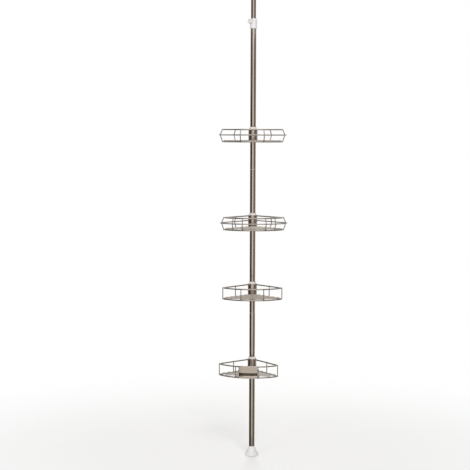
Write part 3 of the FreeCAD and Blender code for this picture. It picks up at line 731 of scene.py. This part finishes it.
upsideDown = raised(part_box("ceiling_pad")[1].z) @ Matrix.Rotation(pi, 4, "X")
makeEnd(endPiece, "floor", "pole", "foot_cone", "foot_pad", "poleSocket", Matrix.Identity(4))
makeEnd(endPiece, "ceiling", "plunger", "ceiling_cone", "ceiling_pad", "plungerSocket", upsideDown)
print("floor and ceiling ends made")


poleSizes = {
    "wide": 0.0125, "narrow": 0.011, "wall": 0.0008, "mouth": 0.0004,
    "pinHole": 0.00205, "pinDrop": 0.045, "plunger": 0.01015, "plungerBore": 0.0065,
    "plungerFoot": 0.0006, "plungerTop": 0.0003,  # fillets
    "slotHalf": 0.00205, "slotTravel": 0.030, "slotSteps": 12, "drillHalf": 0.015, "slotCutHalf": 0.02,
    "nearHole": (-0.008, -0.004, 0.004, 0.008),  # rings round the tube, below and above the pin's hole
}


def makeTube(p, name, radius, node, loops=()):
    low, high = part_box(node)
    inner = radius - p["wall"]
    return turned(name, [
        (inner, low.z, 0), (radius, low.z, p["mouth"]), *[(radius, z, 0) for z in loops],
        (radius, high.z, p["mouth"]), (inner, high.z, 0), *[(inner, z, 0) for z in reversed(loops)]])


def makePole(p):
    for part in ("lower", "middle", "upper"):
        tube = makeTube(p, part + "Tube", p["wide"], part + "_tube")
        dress(tube, "pole", poleSteel, [part + "_tube"])

    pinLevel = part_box("extension_tube")[1].z - p["pinDrop"]
    tube = makeTube(p, "extensionTube", p["narrow"], "extension_tube",
                    [pinLevel + off for off in p["nearHole"]])
    radius, half = p["pinHole"], p["drillHalf"]
    across = [(0.0, -half), (radius, -half), (radius, half), (0.0, half)]
    hole = newObject("hole", latheMesh(across, segments=48))
    cut(tube, place(hole, raised(pinLevel) @ Matrix.Rotation(pi / 2, 4, "Y")))
    dress(tube, "extension", poleSteel, ["extension_tube"])

    low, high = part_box("plunger")
    sliding = turned("slidingPlunger", [
        (p["plungerBore"], low.z, 0), (p["plunger"], low.z, p["plungerFoot"]),
        (p["plunger"], high.z, p["plungerTop"]), (p["plungerBore"], high.z, 0)])
    cut(sliding, slotCutter(p, pinLevel))
    dress(sliding, "plunger", innerPlastic, ["plunger"])


def slotCutter(p, pinLevel):
    # a long hole with round ends, right through the plunger
    outline = []
    for middle, start in ((pinLevel, pi), (pinLevel + p["slotTravel"], 0.0)):
        for step in range(p["slotSteps"] + 1):
            angle = start + pi * step / p["slotSteps"]
            outline.append((p["slotHalf"] * cos(angle), middle + p["slotHalf"] * sin(angle)))
    bm = bmesh.new()
    near, far = ([bm.verts.new((x, y, z)) for y, z in outline]
                 for x in (-p["slotCutHalf"], p["slotCutHalf"]))
    bm.faces.new(near)
    bm.faces.new(reversed(far))
    for i in range(len(outline)):
        j = (i + 1) % len(outline)
        bm.faces.new((near[i], near[j], far[j], far[i]))
    return newObject("slot", closedMesh(bm))


makePole(poleSizes)
print("pole made")


springSizes = {
    "coil": 0.0079, "wire": 0.0011, "sides": 16, "turns": 5, "steps": 44,
    "closedTurns": 0.8, "closedPitch": 0.0024, "pressed": 0.5,
}


def makeSpring(s):
    # round wire with its end turns closed up; the real spring shortens as the plunger is pressed down, but
    # this one is drawn at one length
    low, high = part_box("tension_spring")
    openTurns = s["turns"] - 2 * s["closedTurns"]
    travel = high.z - low.z - 2 * s["wire"]
    openPitch = (travel - 2 * s["closedTurns"] * s["closedPitch"]) / openTurns
    line, z = [], low.z + s["wire"]
    for step in range(s["turns"] * s["steps"] + 1):
        done = step / s["steps"]
        line.append((s["coil"] * cos(2 * pi * done), s["coil"] * sin(2 * pi * done), z))
        fromEnd = min(done, s["turns"] - done) - s["closedTurns"]
        z += (s["closedPitch"] if fromEnd < 0 else openPitch) / s["steps"]
    coil = grow("tensionSpring", lineMesh([line]), "wire", {
        "Wire Radius": s["wire"], "Sides": s["sides"], "Material": springSteel})
    dress(coil, "extension", springSteel, ["tension_spring"], angle=50)
    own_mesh(coil)


makeSpring(springSizes)
print("spring made")


collarSizes = {
    "radius": 0.01525, "height": 0.043, "edge": 0.0022, "socket": 0.01255, "socketDepth": 0.02575,
    "guide": 0.01105, "boss": 0.0085, "bossReach": 0.018, "bossEdge": 0.0008,
    "screwDrop": 0.013, "screwHole": 0.00305, "shoeHole": 0.00405, "shoeDepth": 0.0146,
    "ribs": 30, "ribLength": 0.016, "ribFoot": 0.004, "ribRadius": 0.0006, "ribSunk": 0.35,
    "voxel": 0.00042, "soften": 0.5, "softenings": 6, "past": 0.001,
}
screwWay = Matrix.Rotation(radians(50), 4, "Z") @ Matrix.Rotation(-pi / 2, 4, "Y")


def makeCollar(c):
    body = turned("lockCollar", [
        (0.0, 0.0, 0), (c["radius"], 0.0, c["edge"]), (c["radius"], c["height"], c["edge"]),
        (0.0, c["height"], 0)], steps=6, segments=120)
    boss = turned("boss", [
        (0.0, 0.0, 0), (c["boss"], 0.0, 0), (c["boss"], c["bossReach"], c["bossEdge"]),
        (0.0, c["bossReach"], 0)], segments=72)
    sideways = raised(c["height"] - c["screwDrop"]) @ screwWay
    cut(body, place(boss, sideways), "UNION")
    ribs = grow("ribs", bpy.data.meshes.new("start"), "rib", {
        "Ribs": c["ribs"], "Ring Radius": c["radius"] - c["ribRadius"] * c["ribSunk"],
        "Foot": c["ribFoot"] + c["ribLength"] / 2, "Rib Length": c["ribLength"],
        "Rib Radius": c["ribRadius"], "Material": whitePlastic})
    cut(body, ribs, "UNION")
    # one moulded skin over body, boss and ribs, softened before it is bored
    assign(body.modifiers.new("skin", "REMESH"), mode="VOXEL", voxel_size=c["voxel"])
    assign(body.modifiers.new("soften", "SMOOTH"), factor=c["soften"], iterations=c["softenings"])
    finished(body)
    above = c["height"] + c["past"]
    cut(body, turned("bore", [
        (0.0, -c["past"], 0), (c["socket"], -c["past"], 0), (c["socket"], c["socketDepth"], 0),
        (c["guide"], c["socketDepth"], 0), (c["guide"], above, 0), (0.0, above, 0)], steps=0))
    beyond = c["bossReach"] + c["past"]
    drill = newObject("drill", latheMesh([
        (0.0, 0.0), (c["shoeHole"], 0.0), (c["shoeHole"], c["shoeDepth"]), (c["screwHole"], c["shoeDepth"]),
        (c["screwHole"], beyond), (0.0, beyond)], segments=48))
    cut(body, place(drill, sideways))
    place(body, raised(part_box("lock_collar")[0].z))
    dress(body, "pole", whitePlastic, ["lock_collar"], angle=40)


knobSizes = {
    "radius": 0.011, "depth": 0.0095, "near": 0.01805, "edge": 0.0018, "nearEdge": 0.0008,
    "notches": 8, "notchDepth": 0.0013, "notchPower": 1.6, "plainPast": 0.001,
    "socket": 0.00305, "socketDepth": 0.00605, "cap": 0.0055, "capStep": 0.0005, "capSlope": 0.0008,
    "capFillets": (0.0004, 0.0003),
}


def makeKnob(k):
    near, far = k["near"], k["near"] + k["depth"]
    capFace, socketEnd = far - k["capStep"], near + k["socketDepth"]
    outer, inner = k["capFillets"]

    def scalloped(radius, angle):
        if radius < k["cap"] + k["plainPast"]:
            return radius
        wave = max(0.0, cos(angle * k["notches"])) ** k["notchPower"]
        return radius - k["notchDepth"] * wave * (radius - k["cap"]) / (k["radius"] - k["cap"])

    knob = turned("lockKnob", [
        (k["socket"], near, 0), (k["radius"], near, k["nearEdge"]), (k["radius"], far, k["edge"]),
        (k["cap"] + k["capSlope"], far, outer), (k["cap"], capFace, inner), (0.0, capFace, 0),
        (0.0, socketEnd, 0), (k["socket"], socketEnd, 0)], steps=5, segments=192, rimShape=scalloped)
    low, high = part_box("lock_knob")
    place(knob, raised((low.z + high.z) / 2) @ screwWay)
    dress(knob, "knob", whitePlastic, ["lock_knob"], angle=40)


makeCollar(collarSizes)
makeKnob(knobSizes)
print("collar and knob made")


basketSizes = {
    "reach": 0.184, "side": radians(45), "bend": 0.015, "frontSteps": 30, "bendSteps": 14,
    "rail": 0.003, "outerRail": 0.0025, "outerOffset": 0.020, "outerHeight": 0.029,
    "post": 0.002, "postEnd": 0.9, "sidePost": 0.100, "kneeShare": 0.20, "kneeSteps": 8,
    "floorWire": 0.00175, "firstWire": 0.036, "pitch": 0.020, "wires": 8, "brace": 0.0025,
    "hub": 0.020, "hubFillets": (0.0003, 0.0009), "sleeveFillets": (0.0003, 0.0005, 0.0007),
    "sleeveFoot": 0.0175, "taper": 0.03, "sleeveLow": 0.002, "sleeveHigh": 0.008,
    "slit": radians(3), "bore": 0.01255, "gap": 0.00005,
}
baskets = {  # turn in degrees, height between the rails, front post angles, outer rail
    1: {"turn": -0.9, "height": 0.052, "posts": (15,), "outer": True},
    2: {"turn": 2.0, "height": 0.052, "posts": (15, 28), "outer": True},
    3: {"turn": 0.0, "height": 0.048, "posts": (15,), "outer": False},
    4: {"turn": -7.0, "height": 0.048, "posts": (15,), "outer": False},
}
beadSizes = {  # across, out and up; and how far out it sits, as a share of the wire's radius or in metres
    "post": ((0.0023, 0.0013, 0.0024), 0.92), "outerPost": ((0.0021, 0.0012, 0.0022), 0.95),
    "wireEnd": ((0.0019, 0.0021, 0.0012), 0.95), "wireMiddle": ((0.0017, 0.0019, 0.0009), 0.98),
    "hub": ((0.0039, 0.0013, 0.0039), 0.0004), "outerHub": ((0.0033, 0.0022, 0.0033), 0.0012),
    "braceHub": ((0.0034, 0.0012, 0.0034), 0.0004), "braceRail": ((0.0028, 0.0010, 0.0026), 0.98),
}


def outward(spot, away, side=1):
    # the x and y of a place that stands off a spot the way that it faces, or of its mirror image
    x, y, facing = spot
    return side * (x + away * sin(facing)), y - away * cos(facing)


def bendPlace(b):
    # centre of the right-hand corner bend, and the angle at which the front arc runs into it
    centreReach = b["reach"] - b["bend"]
    angle = b["side"] - asin(b["bend"] / centreReach)
    return *outward((0, 0, angle), centreReach), angle


def railLine(b, offset, start, height):
    # from the hub's left side, round the front and back to its right
    bendX, bendY, bendAngle = bendPlace(b)
    half = [(*outward((0, 0, bendAngle * step / b["frontSteps"]), b["reach"] + offset), height)
            for step in range(b["frontSteps"] + 1)]
    swing = pi / 2 + b["side"] - bendAngle
    for step in range(1, b["bendSteps"] + 1):
        angle = bendAngle + swing * step / b["bendSteps"]
        half.append((*outward((bendX, bendY, angle), b["bend"] + offset), height))
    out = Vector((cos(b["side"]), sin(b["side"]), 0))
    along = Vector((sin(b["side"]), -cos(b["side"]), 0))
    end = along * start + out * offset
    half.append((end.x, end.y, height))
    return [(-x, y, z) for x, y, z in reversed(half)] + half[1:]


def postPlaces(b, angles):
    # right-hand places on the rails' centre line, and the way that faces out there
    bendX, bendY, bendAngle = bendPlace(b)
    squareOut = pi / 2 + b["side"]
    facing = (bendAngle + squareOut) / 2
    front = [(*outward((0, 0, angle), b["reach"]), angle) for angle in map(radians, angles)]
    return front + [(*outward((bendX, bendY, facing), b["bend"]), facing),
                    (*outward((0, 0, b["side"]), b["sidePost"]), squareOut)]


def postLines(b, spots, height, outer):
    # upright posts outside the rails; where there is an outer rail they bend out to it
    away, past = b["rail"] + b["post"], b["rail"] * b["postEnd"]
    shape = [(away, height + past), (away, -past)]
    if outer:
        top, bottom = map(Vector, shape)
        knee = Vector((b["outerOffset"] - b["outerRail"] - b["post"], b["outerHeight"]))
        for part in range(b["kneeSteps"] + 1):  # the knee is a small arc, not a corner
            t = part / b["kneeSteps"]
            upper = top.lerp(knee, 1 - b["kneeShare"] + b["kneeShare"] * t)
            lower = knee.lerp(bottom, b["kneeShare"] * t)
            shape.insert(-1, tuple(upper.lerp(lower, t)))
    return [[(*outward(spot, off, side), z) for off, z in shape] for spot in spots for side in (1, -1)]


def outerStart(b):
    # how far along a side the outer rail meets the round hub
    return sqrt(b["hub"] ** 2 - (b["outerOffset"] - b["outerRail"]) ** 2)


def weldSpots(b, spots, height, outer):
    # where wires touch: (place, size, lean about Z)
    rail, side, made = b["rail"], b["side"], []

    def add(bead, spot, away, z, mirror=1, lean=0.0):
        made.append(((*outward(spot, away, mirror), z), beadSizes[bead][0], mirror * lean))

    for spot in spots:
        for mirror in (1, -1):
            for z in (0.0, height):
                add("post", spot, rail * beadSizes["post"][1], z, mirror, spot[2])
            if outer:
                away = b["outerOffset"] - b["outerRail"] * beadSizes["outerPost"][1]
                add("outerPost", spot, away, b["outerHeight"], mirror, spot[2])
    for wire in range(b["wires"]):
        away = b["firstWire"] + b["pitch"] * wire
        widest = bendPlace(b)[0] + b["bend"]
        half = min(away * tan(side), sqrt(b["reach"] ** 2 - away ** 2), widest)
        for mirror in (1, -1):
            add("wireEnd", (half, 0, 0), away, rail * beadSizes["wireEnd"][1], mirror)
        add("wireMiddle", (0, 0, 0), away, rail * beadSizes["wireMiddle"][1])
    along = b["hub"] + beadSizes["hub"][1]
    for mirror in (1, -1):
        for z in (0.0, height):
            add("hub", (0, 0, side), along, z, mirror, side)
        if outer:
            reach = Vector((sin(side), -cos(side))) * outerStart(b)
            reach += Vector((cos(side), sin(side))) * (b["outerOffset"] - beadSizes["outerHub"][1])
            add("outerHub", (reach.x, reach.y, 0), 0, b["outerHeight"], mirror, side)
    braceLevel = rail - b["brace"]
    add("braceHub", (0, 0, 0), b["hub"] + beadSizes["braceHub"][1], braceLevel)
    add("braceRail", (0, 0, 0), b["reach"] - rail * beadSizes["braceRail"][1], braceLevel)
    return made


def hubCorners(b, height):
    # its bore follows the sleeve's taper
    low, high = -b["rail"], height + b["rail"]
    foot, top = (b["sleeveFoot"] - b["taper"] * (z + b["rail"] + b["sleeveLow"]) + b["gap"]
                 for z in (low, high))
    mouth, edge = b["hubFillets"]
    return [(foot, low, mouth), (b["hub"], low, edge), (b["hub"], high, edge), (top, high, mouth)]


def sleeveCorners(b, height):
    low = -b["rail"] - b["sleeveLow"]
    high = height + b["rail"] + b["sleeveHigh"]
    narrow = b["sleeveFoot"] - b["taper"] * (high - low)
    bore, foot, top = b["sleeveFillets"]
    return [
        (b["bore"], low, bore), (b["sleeveFoot"], low, foot), (narrow, high, top), (b["bore"], high, bore)]


def makeBasket(number, spec):
    b = basketSizes
    shelf, body = f"shelf{number}", f"basket{number}"
    height, outer = spec["height"], spec["outer"]
    turn = radians(spec["turn"])
    stand = raised(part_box(f"{shelf}_bottom_rail")[0].z + b["rail"]) @ Matrix.Rotation(turn, 4, "Z")

    def wires(label, node, lines, radius, sides=20):
        moved = [[tuple(stand @ Vector(point)) for point in line] for line in lines]
        piece = grow(shelf + label, lineMesh(moved), "wire", {
            "Wire Radius": radius, "Sides": sides, "Material": wireSteel})
        dress(piece, body, wireSteel, [f"{shelf}_{node}"], angle=50)

    wires("BottomRail", "bottom_rail", [railLine(b, 0.0, b["hub"], 0.0)], b["rail"], sides=24)
    wires("TopRail", "top_rail", [railLine(b, 0.0, b["hub"], height)], b["rail"], sides=24)
    if outer:
        line = railLine(b, b["outerOffset"], outerStart(b) + b["gap"], b["outerHeight"])
        wires("OuterRail", "outer_rail", [line], b["outerRail"], sides=24)
    spots = postPlaces(b, spec["posts"])
    wires("Posts", "posts", postLines(b, spots, height, outer), b["post"], sides=18)
    braceLevel = b["rail"] - b["brace"]
    brace = [(0, -b["hub"], braceLevel), (0, -(b["reach"] - b["rail"]), braceLevel)]
    wires("FloorBrace", "floor_brace", [brace], b["brace"])

    row = grow(shelf + "FloorWires", bpy.data.meshes.new("start"), "floor", {
        "Wires": b["wires"], "First": b["firstWire"], "Pitch": b["pitch"], "Reach": b["reach"],
        "Side Slope": tan(b["side"]), "Widest Half": bendPlace(b)[0] + b["bend"],
        "Wire Radius": b["floorWire"], "Sides": 16, "Material": wireSteel})
    place(row, stand @ raised(b["rail"] + b["floorWire"]))
    dress(row, body, wireSteel, [f"{shelf}_floor_wires"], angle=50)

    welds = [(tuple(stand @ Vector(spot)), size, lean + turn)
             for spot, size, lean in weldSpots(b, spots, height, outer)]
    beadPiece(shelf + "Welds", welds, body, number)

    ring = turned(shelf + "Hub", hubCorners(b, height), segments=120)
    place(ring, stand)
    dress(ring, body, hubSteel, [f"{shelf}_hub"])

    sweep = pi - b["slit"]
    for label, node, middle in (("SleeveRight", "sleeve_right", 0.0), ("SleeveLeft", "sleeve_left", pi)):
        half = turned(shelf + label, sleeveCorners(b, height), segments=60,
                      start=middle - sweep / 2, sweep=sweep)
        place(half, stand)
        dress(half, f"sleeve{number}", sleevePlastic, [f"{shelf}_{node}"])
    return stand


plateSizes = {
    "wall": 0.0008, "half": radians(12.6), "shift": radians(1.6), "rollSteps": 14,
    "groove": 0.0022, "grooveTop": 0.0213, "grooveFoot": 0.0092,
    # the groove's slopes: share of its depth, and height from its foot or top
    "footSlope": ((0.0, -0.0030), (0.5, -0.0012), (1.0, 0.0010)),
    "topSlope": ((1.0, -0.0032), (0.5, -0.0012), (0.0, 0.0)),
    "hem": 0.00018, "hemSteps": 2, "hemAngle": radians(50),
}


def makePlate(p, stand, height):
    # sheet in front of the rails, rolled back over the top rail, with a pressed groove near its foot
    b = basketSizes
    inner = b["rail"] + b["gap"]
    slopes = [(share, p["grooveFoot"] + up) for share, up in p["footSlope"]]
    slopes += [(share, p["grooveTop"] + up) for share, up in p["topSlope"]]

    def face(away):
        # one face of the sheet, this far outside the rails' centre line, from its foot to the roll's end
        reach = b["reach"] + away
        wall = [(reach - p["groove"] * share, z) for share, z in slopes]
        angles = [pi * step / p["rollSteps"] for step in range(1, p["rollSteps"] + 1)]
        roll = [(b["reach"] + away * cos(a), height + away * sin(a)) for a in angles]
        return [(reach, -b["rail"]), *wall, (reach, height), *roll]

    section = face(inner + p["wall"]) + face(inner)[::-1]
    mesh = latheMesh(section, segments=48, start=p["shift"] - pi / 2 - p["half"], sweep=2 * p["half"])
    plate = newObject("shelf4FrontPlate", mesh)
    assign(plate.modifiers.new("hem", "BEVEL"), width=p["hem"], segments=p["hemSteps"],
           limit_method="ANGLE", angle_limit=p["hemAngle"])
    finished(plate)
    place(plate, stand)
    dress(plate, "basket4", plateSteel, ["shelf4_front_plate"], angle=30)


for number, spec in baskets.items():
    stand = makeBasket(number, spec)
    if number == 4:
        makePlate(plateSizes, stand, spec["height"])
    print("basket made:", number)


# inner pieces that keep their own solids
kept = {
    innerPlastic: ("lower_coupler", "upper_coupler", "extension_guide", "spring_seat", "lock_shoe"),
    springSteel: ("lock_screw", "stop_pin"),
}
for material, nodes in kept.items():
    for node in nodes:
        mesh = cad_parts[node].data
        mesh.materials.clear()
        mesh.materials.append(material)
    print("kept nodes painted:", len(nodes))
